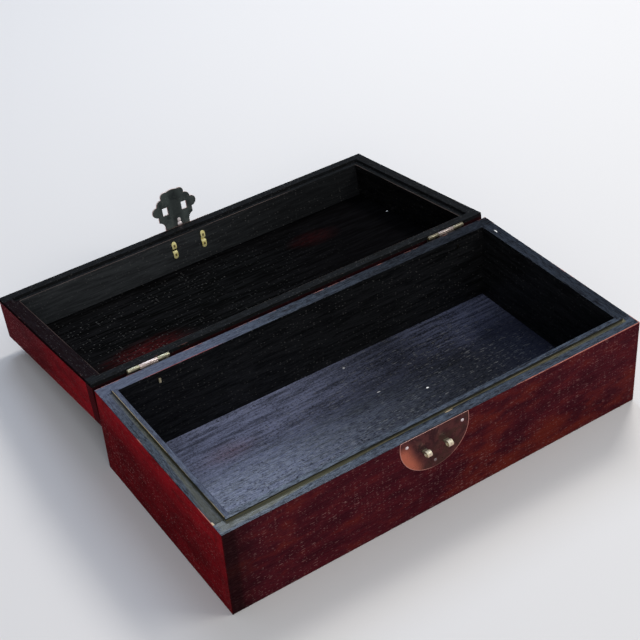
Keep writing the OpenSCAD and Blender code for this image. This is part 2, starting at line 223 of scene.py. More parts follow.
OLIVE, OLIVE_DARK, OLIVE_PALE = linear(96, 94, 72), linear(60, 58, 44), linear(84, 84, 72)
PALE_PORE, IN_PORE, BLACK_PORE_AND_SHADE = linear(200, 160, 154), linear(138, 137, 134), linear(6, 5, 6)
WORN_PINK, CREAM_HIGHLIGHT = linear(190, 120, 104), linear(178, 160, 116)
WORN_RED, WORN_GREY = linear(158, 66, 52), linear(118, 100, 92)
CHIP_WHITE, CHIP_CREAM = linear(250, 248, 244), linear(206, 186, 154)

# Textures of the wood: change per millimetre along and across the grain, detail, roughness, distortion
GRAIN_JUMP = (517.0, 139.0, 71.0)
DRIFT, STREAK = (0.006, 0.024, 3.0, 0.6, 0.4), (0.035, 0.42, 5.0, 0.66, 0.3)
FIBRE, MOTTLE, GRIT = (0.14, 2.2, 3.0, 0.6), (0.04, 0.09, 4.0, 0.6), (0.16, 1.0, 4.0, 0.75)
CROWD, WAVE, RAGGED = (0.01, 0.045, 2.0), (0.01, 0.035, 2.0), (0.03, 0.4, 3.0)
FRAYED, SPECKLE = (0.05, 0.5, 4.0, 0.7), (0.5, 2.2, 3.0, 0.75)

# Where a texture turns from one tone into the other
OUTER_CUT, RUST_CUT, INNER_CUT, RIM_CUT = (0.34, 0.64), (0.5, 0.74), (0.36, 0.66), (0.38, 0.6)
RED_CUT, SHINE_CUT, GREY_CUT, FRAYED_CUT = (0.32, 0.68), (0.34, 0.66), (0.34, 0.5), (0.66, 0.8)
FLOOR_CUT, SPECKLE_CUT, FOOT_HIGHLIGHT_CUT, LIP_CUT = (0.42, 0.58), (0.42, 0.6), (0.42, 0.56), (0.36, 0.6)

# Pores, as dashes along the grain: length, width, radius and the share of them that shows
FINE_PORES, END_PORES, PANEL_PORES = (3.0, 0.8, 0.24, 0.7), (1.9, 1.4, 0.32, 0.9), (3.0, 0.9, 0.24, 0.7)
FLOOR_PORES, FLOOR_DASHES = (4.0, 1.2, 0.28, 0.85), ((5.0, 1.0, 0.25, 0.7), (11.0, 1.2, 0.26, 0.6))
PANEL_DASHES = (3.4, 1.1, 0.25, 0.4)
PORE_LEAST, PORE_EDGE, PORE_FULL = 0.45, 0.35, 0.4
# Layers of pores: their kind, strength and colour
OUTER_PORES = ((FINE_PORES, 0.35, BLACK_PORE_AND_SHADE), ((2.6, 0.8, 0.24, 0.5), 0.4, PALE_PORE),
               ((4.5, 1.0, 0.24, 0.5), 0.32, PALE_PORE), ((9.0, 1.0, 0.24, 0.3), 0.4, PALE_PORE))
INNER_PORES = (((3.0, 1.2, 0.26, 0.45), 0.35, IN_PORE),)
RIM_PORES = (((3.0, 1.2, 0.28, 0.8), 0.5, BLACK_PORE_AND_SHADE), ((2.6, 1.2, 0.26, 0.6), 0.3, IN_PORE))

# Heights of the bump: of the pores and of the board's slow waves, in metres
PORE_DEPTH, FLOOR_PORE_DEPTH, WAVE_DEPTH = 0.00012, 0.0002, 0.0005
PORE_BUMP, WAVE_BUMP = 0.7, 0.5


class Wood(Shader):
    """Wood of one board. The grain runs along X, or along Y where along_y."""

    def __init__(self, name, along_y, seed):
        super().__init__(name + "_wood")
        self.on_lid = name.startswith("lid_")
        point = self.place(self.on_lid)
        self.x, self.y, self.z = self.split(point)
        if along_y:
            point = self.node("CombineXYZ", {"X": self.y, "Y": self.x, "Z": self.z}).outputs[0]
        self.grain = self.vector("ADD", point, tuple(seed * jump for jump in GRAIN_JUMP))
        side = self.minus(BOX_W / 2, self.size(self.x))
        end = self.minus(BOX_D / 2, self.size(self.y))
        self.from_edge = self.math("MINIMUM", side, end)
        self.from_corner = self.math("MAXIMUM", side, end)
        self.drift, self.streak = self.texture(*DRIFT), self.texture(*STREAK)
        self.fibre, self.mottle = self.texture(*FIBRE), self.texture(*MOTTLE)
        self.grit, self.crowd = self.texture(*GRIT), self.texture(*CROWD)
        self.at_left = self.below(self.x, SKIN - BOX_W / 2)

    def texture(self, along, across, *shape):
        return self.noise(self.grain, (along, across, across), *shape)

    def mask(self, given):
        """A mask may be an amount, or a function that makes one."""
        return given(self) if callable(given) else given

    def outside(self):
        """1 on the outer faces, the top and the underside."""
        level = self.above(self.z, LID_TOP - SKIN) if self.on_lid else self.below(self.z, 0.1)
        return self.most(self.below(self.from_edge, SKIN), level)

    def rim(self):
        """1 on the ledge and the lip, or on the lid's rim and rebate."""
        return self.below(self.z, REBATE_Z + 0.1) if self.on_lid else self.above(self.z, BODY_H - 0.1)

    def pores(self, length, width, radius, share):
        """Open pores, as short dashes along the grain, of which the given share shows."""
        distance, luck = self.cells(self.grain, (1 / length, 1 / width, 1 / width))
        limit = self.scaled(self.crowd, radius, radius * PORE_LEAST)
        return self.times(self.step(self.minus(limit, distance), 0.0, radius * PORE_EDGE),
                          self.step(luck, 1 - share, 1 - share * PORE_FULL))

    def pored(self, colour, layers):
        """The colour under layers of pores."""
        for kind, strength, shade in layers:
            colour = self.mix(self.times(self.pores(*kind), strength), colour, shade)
        return colour

    def outer_colour(self, rust=0.0):
        """Red-brown in soft patches, worn to rust where the mask says so, with a painted crimson reflection
        on the left faces.
        """
        tone = self.step(self.plus(self.times(self.mottle, 0.7), self.times(self.streak, 0.3)), *OUTER_CUT)
        colour = self.mix(tone, OUT_DARK, OUT_WARM)
        warmth = self.plus(self.times(self.drift, 0.4), self.scaled(rust, 0.16, self.times(self.mottle, 0.6)))
        colour = self.mix(self.times(self.step(warmth, *RUST_CUT), 0.85), colour, OUT_RUST)
        # Painted reflection: crimson on the left faces
        return self.mix(self.at_left, colour, self.mix(tone, END_REFLECTION_DARK, END_REFLECTION_RED))

    def inner_colour(self, red, dark, pale):
        """Dark and pale streaks, rubbed red where the mask says so."""
        colour = self.mix(self.step(self.streak, *INNER_CUT), dark, pale)
        return self.mix(self.times(red, self.step(self.grit, *RED_CUT)), colour, IN_RED)

    def patch(self, x, y, long, wide):
        """1 in the middle of an oval patch on the horizontal, with ragged edges."""
        off = self.vector("SUBTRACT", self.place(self.on_lid), (x, y, 0.0))
        level = self.vector("MULTIPLY", self.vector("DIVIDE", off, (long, wide, 1.0)), (1.0, 1.0, 0.0))
        return self.step(self.plus(self.vector("LENGTH", level), self.times(self.crowd, 0.6)), 1.3, 0.5)

    def chip(self, x, y, long, wide):
        """1 in a small chip with a hard, uneven edge."""
        across = self.math("DIVIDE", self.minus(self.x, x), long / 2)
        away = self.math("DIVIDE", self.minus(self.y, y), wide / 2)
        reach = self.plus(self.times(across, across), self.times(away, away))
        return self.step(self.scaled(self.grit, 1.6, reach), 1.9, 1.6)

    def finish(self, colour, pore, low_gloss, high_gloss, specular, depth=PORE_DEPTH, grain_shine=0.7):
        """grain_shine tells how much of the shine comes and goes with the fibres."""
        height = self.minus(self.times(self.fibre, 0.25), pore)
        wave = self.bump(self.texture(*WAVE), WAVE_DEPTH, WAVE_BUMP)
        gloss = self.scaled(self.streak, high_gloss - low_gloss, low_gloss)
        shine = self.scaled(self.step(self.grit, *SHINE_CUT), grain_shine * 2, 1 - grain_shine)
        shine = self.times(shine, self.scaled(pore, -0.7, 1.0))
        self.set(Base_Color=colour, Specular_IOR_Level=self.math("MULTIPLY", specular, shine, clamp=True),
                 Roughness=self.scaled(pore, 0.25, gloss, clamp=True),
                 Normal=self.bump(height, depth, PORE_BUMP, wave))
        return self.material


# Wear and shade by place on the shut box, in millimetres. A pair is a fade: none at the first place, all at
# the second. The left faces:
END_LOW_Z, END_BACK_Y, LID_END_Y, END_MOTTLE = (58.0, 36.0), (-80.0, 0.0), (80.0, -50.0), -16.0
ROW_BOW, ROW_DRIFT, ROW_RATE, ROW_CUT = 0.0012, 16.0, 1.6, (-0.8, 0.4)


def end_dark(w):
    """The left faces get darker: the box's towards its lower back, the lid's away from the hinges."""
    if w.on_lid:
        return w.math("MULTIPLY", w.step(w.y, *LID_END_Y), 1.3)
    return w.times(w.step(w.scaled(w.mottle, END_MOTTLE, w.z), *END_LOW_Z),
                   w.scaled(w.step(w.y, *END_BACK_Y), 0.3, 0.7))


def end_pores(w):
    """Small pale pores in curved rows, densest in the dark part of the left faces."""
    bowed = w.scaled(w.times(w.y, w.y), ROW_BOW, w.z)
    rows = w.math("SINE", w.scaled(w.drift, ROW_DRIFT, w.times(bowed, ROW_RATE)))
    strength = w.scaled(end_dark(w), 0.6, 0.25, clamp=True)
    return w.times(w.pores(*END_PORES), w.step(rows, *ROW_CUT), strength)


def outer_face(w, rust, dark):
    """A board's outside; rust and dark are masks."""
    colour = w.pored(w.outer_colour(w.mask(rust)), OUTER_PORES)
    colour = w.mix(w.math("MULTIPLY", w.times(w.at_left, end_dark(w)), 0.55, clamp=True), colour, END_BLACK)
    colour = w.mix(w.times(w.at_left, end_pores(w)), colour, PALE_PORE)
    return w.mix(w.mask(dark), colour, OUT_BLACK) if dark else colour


def inner_face(w, wall, wall_dark):
    """A board's inside; wall holds its two colours and wall_dark is a mask."""
    colour = w.inner_colour(0.0, *wall)
    if wall_dark:
        colour = w.mix(w.mask(wall_dark), colour, BLACK_PORE_AND_SHADE)
    return w.pored(colour, INNER_PORES)


def rim_face(w, shade):
    """Slate-grey rims; shade gives the strength and the colour of a tone laid over the lid's."""
    tone = w.plus(w.times(w.streak, 0.4), w.times(w.grit, 0.6))
    colour = w.mix(w.step(tone, *RIM_CUT), RIM_DARK, RIM_SLATE)
    if shade:
        colour = w.mix(shade[0], colour, shade[1])
    return w.pored(colour, RIM_PORES)


def lid_arris(w, colour, strength):
    """The lid's inner arris is rubbed grey."""
    arris = w.times(w.above(w.from_edge, WALL - 0.4, 0.3), w.above(w.z, REBATE_Z - 0.2))
    return w.mix(w.times(arris, w.step(w.crowd, *GREY_CUT), strength), colour, WORN_GREY)


# The ledge: its front left corner, and where its olive line widens
CORNER_X, CORNER_Y = (-100.0, -176.0), (10.0, -78.0)
LINE_LEFT_X, LINE_RIGHT_X, LINE_WIDTH, LINE_MORE, CORNER_MORE = (-10.0, -110.0), (20.0, 120.0), 0.6, 2.0, 5.0
RUB_EDGE, FOOT_HIGHLIGHT_X, LIP_OLIVE_X = (1.6, 1.1), (-90.0, 10.0), (-40.0, -130.0)


def ledge_wear_and_light(w, colour, rubbed):
    """Olive where the ledge and the lip's outer face are rubbed; a painted highlight at the lip's foot,
    painted shade atop its face.
    """
    ragged = w.texture(*RAGGED)
    # The ledge is rubbed towards the lip: all over at the front left corner, in a thin line on the right
    on_ledge = w.below(w.z, BODY_H + 0.2)
    corner = w.times(w.step(w.x, *CORNER_X), w.step(w.y, *CORNER_Y))
    more = w.most(w.step(w.x, *LINE_LEFT_X), w.times(w.step(w.x, *LINE_RIGHT_X), 0.8))
    wide = w.scaled(corner, CORNER_MORE, w.scaled(more, LINE_MORE, LINE_WIDTH))
    near = w.math("DIVIDE", w.minus(LEDGE, w.from_edge), wide)
    ledge = w.times(on_ledge, w.below(w.from_edge, LEDGE, 0.3))
    rub = w.times(w.step(w.scaled(ragged, 0.9, near), *RUB_EDGE), ledge, rubbed)
    colour = w.mix(w.times(rub, 0.85), colour, w.mix(corner, OLIVE, OLIVE_PALE))
    # Painted highlight: a broken cream line along the lip's foot, towards the right
    foot = w.times(w.band(w.from_edge, LEDGE - 0.5, LEDGE - 0.1, 0.15), on_ledge)
    cream = w.times(foot, w.step(w.x, *FOOT_HIGHLIGHT_X), w.step(ragged, *FOOT_HIGHLIGHT_CUT), rubbed, 0.5)
    colour = w.mix(cream, colour, CREAM_HIGHLIGHT)
    # The lip's outer face is olive as well, under a line of painted shade along its top
    face = w.times(w.band(w.from_edge, LEDGE - 0.2, LEDGE + 0.2, 0.1), w.above(w.z, BODY_H + 0.4))
    face_tone = w.mix(w.step(w.x, *LIP_OLIVE_X), OLIVE_DARK, OLIVE)
    return w.mix(w.times(face, rubbed), colour, w.mix(w.above(w.z, LIP_Z - 0.8), face_tone, LINE_DARK))


def worn_arris(w, colour, worn, level):
    """The outer arrises are frayed pink; worn is a mask."""
    frayed = w.scaled(w.mask(worn), 0.3, w.texture(*FRAYED))
    edge = w.most(level, w.times(w.below(w.from_corner, SKIN), 0.15))
    arris = w.times(w.below(w.from_edge, 0.4), edge)
    return w.mix(w.times(arris, w.step(frayed, *FRAYED_CUT)), colour, WORN_PINK)


BOARD_GLOSS, BOARD_SHINE, LEFT_DULL = (0.26, 0.44), 0.14, -0.09


def board_wood(name, seed, along_y=False, rust=0.0, dark=0.0, wall=INSIDE, wall_dark=0.0, marks=None,
               worn=0.5, rubbed=0.0, rim_shine=0.16, shade=None):
    """Wood of a side board; marks adds wear and painted light to the rim, rubbed scales its olive and the
    lip's painted highlight and shade.
    """
    w = Wood(name, along_y, seed)
    outside, rim = w.outside(), w.times(w.rim(), w.below(w.from_edge, WALL - 0.12, 0.1))
    top = rim_face(w, shade)
    if w.on_lid:
        top = lid_arris(w, top, 0.35 if along_y else 0.8)
        level = w.below(w.z, RIM_Z + 0.4)
    else:
        top = ledge_wear_and_light(w, top, rubbed)
        level = w.above(w.z, BODY_H - 0.4)
    if marks:
        top = marks(w, top)
    colour = w.mix(rim, w.mix(outside, inner_face(w, wall, wall_dark), outer_face(w, rust, dark)), top)
    colour = worn_arris(w, colour, worn, level)
    specular = w.scaled(rim, rim_shine - BOARD_SHINE, w.scaled(w.at_left, LEFT_DULL, BOARD_SHINE))
    return w.finish(colour, w.times(w.pores(*FINE_PORES), w.most(outside, 0.5)), *BOARD_GLOSS, specular)


# The front board
RUST_X, RUST_Z, BESIDE_X, BESIDE_SOFT, BESIDE_Z = (-60.0, 90.0), (48.0, 8.0), (20.0, 80.0), 24.0, (80.0, 60.0)
DARK_END_X, BLACK_END_X, FRONT_WEAR_X = (-150.0, -174.0), (-168.0, -172.0), (36.0, 80.0)
FRONT_CHIP = (8.0, -83.0, 7.0, 0.8)


def front_rust(w):
    """The front is worn to rust low down and right of the hasp."""
    beside = w.times(w.band(w.x, *BESIDE_X, BESIDE_SOFT), w.step(w.z, *BESIDE_Z), 0.45)
    return w.most(beside, w.times(w.step(w.x, *RUST_X), w.step(w.z, *RUST_Z)))


def front_dark(w):
    """Painted shade: the front is nearly black at its left end."""
    shade = w.times(w.step(w.x, *DARK_END_X), w.scaled(w.step(w.x, *BLACK_END_X), 0.3, 0.7))
    return w.times(shade, w.below(w.y, FRONT_Y + SKIN), 0.85)


def front_wear(w):
    """The front arris is worn right of the hasp."""
    return w.scaled(w.step(w.x, *FRONT_WEAR_X), 0.85, 0.15)


def front_marks(w, top):
    """A cream chip beside the hasp."""
    return w.mix(w.chip(*FRONT_CHIP), top, CHIP_CREAM)


# The back board
SHEEN_RIM_X, SHADE_RIM_X, RED_EDGE_X, RED_EDGE_SOFT = (-10.0, -120.0), (-90.0, 110.0), (-139.0, -90.0), 14.0


def back_marks(w, top):
    """The rim: painted sheen at the left, painted shade at the right; its inner edge red near the left hinge.
    """
    # Painted sheen: the rim paler towards the left
    top = w.mix(w.times(w.step(w.x, *SHEEN_RIM_X), 0.36), top, SLATE_PALE)
    # Painted shade: the rim darker towards the right
    top = w.mix(w.times(w.step(w.x, *SHADE_RIM_X), 0.75), top, BLACK_PORE_AND_SHADE)
    edge = w.times(w.above(w.from_edge, WALL - 0.4, 0.25), w.band(w.x, *RED_EDGE_X, RED_EDGE_SOFT))
    return w.mix(w.times(edge, 0.85), top, WORN_RED)


# The left and right boards
LEFT_WEAR_Y, PALE_BACK_Y, DARK_LEDGE_Y, PALE_LIP_Y = (-50.0, -80.0), (30.0, 80.0), (86.0, 40.0), (90.0, -20.0)
LEFT_CHIPS = ((-171.0, -81.5, 1.6, 2.0), (-179.2, -79.0, 1.6, 5.5))
RIGHT_CHIP, RIGHT_SHADE = (173.0, 69.0, 2.8, 4.2), 0.55


def left_wear(w):
    """The left arris is worn near the front corner."""
    return w.scaled(w.step(w.y, *LEFT_WEAR_Y), 0.7, 0.3)


def left_marks(w, top):
    """Ledge and lip differ in tone, the lip's outer edge carries a cream painted highlight, and two chips lie
    near the front.
    """
    top = w.mix(w.times(w.step(w.y, *PALE_BACK_Y), 0.3), top, SLATE_PALE)
    top = w.mix(w.times(w.below(w.from_edge, LEDGE, 0.3), w.step(w.y, *DARK_LEDGE_Y), 0.38), top, LINE_DARK)
    lip = w.times(w.above(w.from_edge, LEDGE + 1.2, 0.6), w.step(w.y, *PALE_LIP_Y), 0.3)
    top = w.mix(lip, top, SLATE_PALE)
    # Painted highlight: a broken cream line along the lip's outer edge
    edge = w.times(w.band(w.from_edge, LEDGE - 0.1, LEDGE + 0.5, 0.15), w.above(w.z, LIP_Z - 0.2))
    top = w.mix(w.times(edge, w.step(w.texture(*RAGGED), *LIP_CUT), 0.55), top, CREAM_HIGHLIGHT)
    for chip in LEFT_CHIPS:
        top = w.mix(w.chip(*chip), top, CHIP_CREAM)
    return top


def right_marks(w, top):
    """The rim lies in a darker light here, and is chipped at the back corner."""
    return w.mix(w.chip(*RIGHT_CHIP), w.mix(RIGHT_SHADE, top, BLACK_PORE_AND_SHADE), CHIP_WHITE)


# The lid's far wall, its painted light fading to the right, and its back face, nearly black as painted gap
# shade
WALL_DARK_X, LID_BACK_SHADE = (-60.0, 110.0), 0.8


def lid_wall_dark(w):
    """The painted light on the lid's far wall fades to the right."""
    return w.times(w.step(w.x, *WALL_DARK_X), 0.66)


# The bottom panel, with painted light and shade on its floor
SHINE_X, PALE_LEFT_X, BACK_X, BACK_DEPTH_Y = (130.0, -60.0), (10.0, -120.0), (30.0, 130.0), (5.0, 70.0)
BRIGHT_Y, FRONT_SHADE_Y, DEEP_X, DASHES_X = (15.0, 85.0), (-10.0, -80.0), (90.0, 165.0), (-170.0, 40.0)
FLOOR_PATCH, FLOOR_GLOSS, FLOOR_SHINE, FLOOR_MORE_SHINE = (-104.0, 40.0, 34.0, 14.0), (0.32, 0.44), 0.16, 0.38
FLOOR_CHIP = (57.0, 8.0, 2.4, 1.4)
FAINT_CHIPS = ((19.0, 68.0, 1.8, 1.8), 0.8), ((24.0, 27.0, 3.0, 0.9), 0.5)


def floor_wood(name, seed):
    """The bottom panel: slate-grey inside, with painted light and shade, dark pores, pale dashes and a
    reddish patch.
    """
    w = Wood(name, False, seed)
    speckle = w.texture(*SPECKLE)
    tone = w.plus(w.times(w.streak, 0.4), w.plus(w.times(w.mottle, 0.1), w.times(speckle, 0.5)))
    to_left = w.step(w.x, *SHINE_X)
    to_back = w.times(w.step(w.x, *BACK_X), w.step(w.y, *BACK_DEPTH_Y))
    # Painted light: paler to the left and in the back right corner
    slate = w.mix(w.most(w.step(w.x, *PALE_LEFT_X), to_back), SLATE, SLATE_PALE)
    # Painted light: brighter towards the back, most on the left
    slate = w.mix(w.times(w.step(w.y, *BRIGHT_Y), w.scaled(to_left, 0.6, 0.15)), slate, SLATE_BRIGHT)
    # Painted shade: darker towards the front
    slate = w.mix(w.times(w.step(w.y, *FRONT_SHADE_Y), 0.3), slate, SLATE_DARK)
    # Painted light: the deep tone lifted at the far right
    deep = w.mix(w.times(w.step(w.x, *DEEP_X), 0.7), SLATE_DARK, SLATE)
    # Painted light: more of the paler tone to the left and in the back right corner
    pale = w.scaled(w.most(to_left, to_back), 0.9, 0.1)
    inside = w.mix(w.times(w.step(tone, *FLOOR_CUT), pale), deep, slate)
    # Painted light: paler again to the left
    inside = w.mix(w.times(to_left, 0.2), inside, slate)
    red = w.times(w.patch(*FLOOR_PATCH), w.step(speckle, *SPECKLE_CUT), 0.5)
    inside = w.mix(red, inside, SLATE_RED)
    fine = w.pores(*FLOOR_PORES)
    inside = w.mix(w.times(fine, 0.75), inside, BLACK_PORE_AND_SHADE)
    to_right = w.scaled(w.step(w.x, *DASHES_X), 0.3, 0.15)
    inside = w.pored(inside, [(dashes, to_right, IN_PORE) for dashes in FLOOR_DASHES])
    chips = w.most(w.chip(*FLOOR_CHIP), *[w.times(w.chip(*chip), strength) for chip, strength in FAINT_CHIPS])
    inside = w.mix(chips, inside, CHIP_WHITE)
    return w.finish(w.mix(w.outside(), inside, w.outer_colour()), fine, *FLOOR_GLOSS,
                    w.scaled(to_left, FLOOR_MORE_SHINE, FLOOR_SHINE), FLOOR_PORE_DEPTH, grain_shine=0.85)


# The lid's top panel
PANEL_PATCHES = (((-106.0, 26.0, 50.0, 24.0), 0.65), ((90.0, -37.0, 30.0, 18.0), 0.35))
PANEL_SHADE_X, PANEL_DASHES_X, PANEL_CHIP = (-40.0, 110.0), (150.0, -60.0), (164.0, -29.0, 2.2, 1.6)
PANEL_GLOSS, PANEL_SHINE = (0.3, 0.44), 0.14


def panel_wood(name, seed):
    """The lid's top panel: nearly black inside, with painted shade to the right and two patches rubbed red.
    """
    w = Wood(name, False, seed)
    red = w.most(*[w.times(w.patch(*patch), strength) for patch, strength in PANEL_PATCHES])
    # Painted shade: darker towards the right
    inside = w.mix(w.times(w.step(w.x, *PANEL_SHADE_X), 0.6), w.inner_colour(red, *INSIDE), BLACK_PORE_AND_SHADE)
    fine = w.pores(*PANEL_PORES)
    inside = w.mix(w.times(fine, 0.5), inside, BLACK_PORE_AND_SHADE)
    inside = w.mix(w.times(w.pores(*PANEL_DASHES), w.step(w.x, *PANEL_DASHES_X), 0.3), inside, IN_PORE)
    inside = w.mix(w.chip(*PANEL_CHIP), inside, CHIP_WHITE)
    outside = w.outside()
    colour = w.mix(outside, inside, w.pored(w.outer_colour(), OUTER_PORES))
    return w.finish(colour, fine, *PANEL_GLOSS, w.times(outside, PANEL_SHINE))


WELD, FLAT_ANGLE, BEVEL_ANGLE, BEVEL_SEGMENTS = 1e-6, math.radians(0.5), math.radians(35), 3


def softened(piece, width):
    """Softens sharp edges with modifiers, which leave the piece's mesh as it is."""
    piece.modifiers.new("weld", "WELD").merge_threshold = WELD
    flat = piece.modifiers.new("flat", "DECIMATE")
    flat.decimate_type = "DISSOLVE"
    flat.angle_limit = FLAT_ANGLE
    bevel = piece.modifiers.new("bevel", "BEVEL")
    bevel.width = width * MM
    bevel.segments = BEVEL_SEGMENTS
    bevel.limit_method = "ANGLE"
    bevel.angle_limit = BEVEL_ANGLE
    bevel.use_clamp_overlap = True
    bevel.miter_outer = "MITER_ARC"
    even = piece.modifiers.new("even", "WEIGHTED_NORMAL")
    even.keep_sharp = False
    even.weight = 100
    piece.data.shade_smooth()


def dress(piece, material, width):
    """Gives a CAD piece its material, and bevels of the given width."""
    piece.data.materials.clear()
    piece.data.materials.append(material)
    softened(piece, width)


WOOD_BEVEL = 0.3
BOARDS = {
    "front_board": dict(seed=1, rust=front_rust, dark=front_dark, marks=front_marks, worn=front_wear,
                        rubbed=1.0, rim_shine=0.4),
    "back_board": dict(seed=2, marks=back_marks, wall=DARK_WALL),
    "left_board": dict(seed=3, along_y=True, marks=left_marks, worn=left_wear, rubbed=1.0, rim_shine=0.12),
    "right_board": dict(seed=4, along_y=True, marks=right_marks, wall=DARK_WALL),
    "lid_front_board": dict(seed=6, wall=LIT_LID_WALL, wall_dark=lid_wall_dark, worn=0.1, rim_shine=0.05,
                            shade=(0.9, LID_RIM)),
    # Painted shade: the lid's back face lies nearly black in the gap at the hinges
    "lid_back_board": dict(seed=7, dark=LID_BACK_SHADE, worn=0.1, rim_shine=0.05, shade=(0.9, LID_RIM)),
    "lid_left_board": dict(seed=8, along_y=True, worn=0.2, rim_shine=0.02, shade=(0.95, END_RIM)),
    "lid_right_board": dict(seed=9, along_y=True, worn=0.1, rim_shine=0.05, shade=(0.92, LID_RIM)),
}
for name, settings in BOARDS.items():
    dress(nodes[name], board_wood(name, **settings), WOOD_BEVEL)
dress(nodes["bottom_panel"], floor_wood("bottom_panel", 5), WOOD_BEVEL)
dress(nodes["lid_top_panel"], panel_wood("lid_top_panel", 10), WOOD_BEVEL)

# Metals: clouds of patina, fine rubbed spots, and the heights of both together in metres
CLOUD_CUT, SPOT_CUT, SPOT_RATE, METAL_DEPTH, METAL_BUMP = (0.42, 0.66), (0.56, 0.72), 7, 0.00008, 0.5


def metal(name, colours, polish, metallic, scale=0.35, detail=None, on_lid=False):
    """Aged metal: patina in clouds, brighter rubbed spots, uneven polish. detail adds marks of its own."""
    base, shade, bright = colours
    s = Shader(name)
    point = s.place(on_lid)
    cloud = s.noise(point, (scale,) * 3, 4.0, 0.6, 0.5)
    fine = s.noise(point, (scale * SPOT_RATE,) * 3, 3.0, 0.6)
    colour = s.mix(s.step(cloud, *CLOUD_CUT), base, shade)
    colour = s.mix(s.times(s.step(fine, *SPOT_CUT), 0.6), colour, bright)
    if detail:
        colour = detail(s, point, colour)
    s.set(Base_Color=colour, Metallic=metallic, Roughness=s.scaled(cloud, polish[1] - polish[0], polish[0]),
          Normal=s.bump(s.plus(cloud, s.times(fine, 0.3)), METAL_DEPTH, METAL_BUMP))
    return s.material


# The faceplate, measured from its middle
COPPER_RIM_HIGHLIGHT, COPPER_LOW_HIGHLIGHT = linear(246, 194, 176), linear(244, 158, 124)
COPPER_DULL, COPPER_OLIVE = linear(50, 40, 40), linear(84, 70, 60)
LOW_HIGHLIGHT_X, LOW_HIGHLIGHT_Z, LOW_HIGHLIGHT_R = (-8.0, -20.0), (5.0, -7.0), (17.0, 27.0)
OLIVE_SIDE, PATINA_RATE, PATINA_CUT = (-2.0, 16.0), 0.16, (0.42, 0.62)
DULL_X, DULL_SOFT, DULL_Z = (0.0, 13.0), 5.0, (-16.0, -22.0)


def plate_marks(s, point, colour):
    """A painted highlight round the faceplate's rim, weaker low in the middle, another in its lower left, and
    olive patina in its lower right.
    """
    x, y, z = s.split(point)
    across, up = s.minus(x, HASP_X), s.minus(z, PLATE_Z)
    reach = s.math("SQRT", s.plus(s.times(across, across), s.times(up, up)))
    patina = s.noise(point, (PATINA_RATE,) * 3, 3.0, 0.6)
    low_right = s.times(s.step(s.minus(across, s.times(up, 0.7)), *OLIVE_SIDE), s.step(patina, *PATINA_CUT))
    colour = s.mix(s.times(low_right, 0.7), colour, COPPER_OLIVE)
    # Painted highlight in the lower left
    low_left_highlight = s.times(s.step(across, *LOW_HIGHLIGHT_X), s.step(up, *LOW_HIGHLIGHT_Z))
    colour = s.mix(s.times(low_left_highlight, s.step(reach, *LOW_HIGHLIGHT_R), 0.95), colour, COPPER_LOW_HIGHLIGHT)
    top = s.band(z, BODY_H - 0.1, RIM_Z + 0.1, 0.15)
    colour = s.mix(s.times(top, s.above(y, FRONT_Y - 0.1)), colour, COPPER_DULL)
    # Painted highlight along the rim and the top edge's front arris, weaker low in the middle
    dull = s.times(s.band(across, *DULL_X, DULL_SOFT), s.step(up, *DULL_Z))
    edge = s.times(s.above(reach, PLATE_R - 0.35, 0.25), s.scaled(dull, -0.7, 1.0))
    return s.mix(s.times(s.most(edge, top), s.below(y, FRONT_Y - 0.3)), colour, COPPER_RIM_HIGHLIGHT)


def from_strap(s, x, span):
    """How far from the hasp's middle line a point lies, past the straps that stand span apart."""
    return s.minus(s.size(s.minus(x, HASP_X)), span / 2)


# The straps: the staples' roots, sides and dimples, and the shadow in the eyes' bends
STRAP_TARNISH, STRAP_DIMPLE, EYE_SHADOW = linear(72, 56, 38), linear(150, 146, 130), linear(84, 58, 30)
STAPLE_RING_Y = FRONT_Y - STAPLE_OUT
SIDE_CUT, DIMPLE_Z, DIMPLE_HALF, DIMPLE_SOFT = (0.6, 0.85), (0.7, 1.1), 0.3, 0.5
SHADOW_UP, SHADOW_HALF, SHADOW_SOFT = (3.4, 5.0), 0.5, 0.8


def staple_marks(s, point, colour):
    """The staples' sides and roots are tarnished, and their round faces rubbed bright but for a dimple."""
    normal = s.node("TexCoord").outputs["Normal"]
    side = s.size(s.vector("DOT_PRODUCT", normal, (1.0, 0.0, 0.0)))
    x, y, z = s.split(point)
    dimple = s.times(s.band(from_strap(s, x, STAPLE_SPAN), -DIMPLE_HALF, DIMPLE_HALF, DIMPLE_SOFT),
                     s.band(z, STAPLE_Z + DIMPLE_Z[0], STAPLE_Z + DIMPLE_Z[1], DIMPLE_SOFT),
                     s.below(y, STAPLE_RING_Y - 1.9, 0.4))
    colour = s.mix(s.times(dimple, 0.6), colour, STRAP_DIMPLE)
    root = s.above(y, STAPLE_RING_Y + 2.2, 1.6)
    return s.mix(s.most(s.times(s.step(side, *SIDE_CUT), 0.9), s.times(root, 0.8)), colour, STRAP_TARNISH)


def eye_marks(s, point, colour):
    """A dark spot in the middle of either leg of the eyes, where the bend lies in shadow."""
    x, y, z = s.split(point)
    spot = s.times(s.band(from_strap(s, x, EYE_SPAN), -SHADOW_HALF, SHADOW_HALF, SHADOW_SOFT),
                   s.band(s.size(s.minus(z, PIN_Z)), *SHADOW_UP, SHADOW_SOFT),
                   s.above(y, FRONT_Y + WALL, 1.0))
    return s.mix(s.times(spot, 0.9), colour, EYE_SHADOW)


# Nails and hinges
NAIL_DULL, LOW_NAIL_Z = linear(96, 74, 70), (52.0, 50.0)
LEAF_TARNISH, LEAF_SHADE = linear(96, 84, 72), linear(22, 16, 14)
TIP_PALE, TIP_BLACK = linear(226, 214, 176), linear(30, 28, 24)
RIGHT_HINGE_X, RIGHT_TIP_X = (-10.0, 10.0), (-20.0, 20.0)


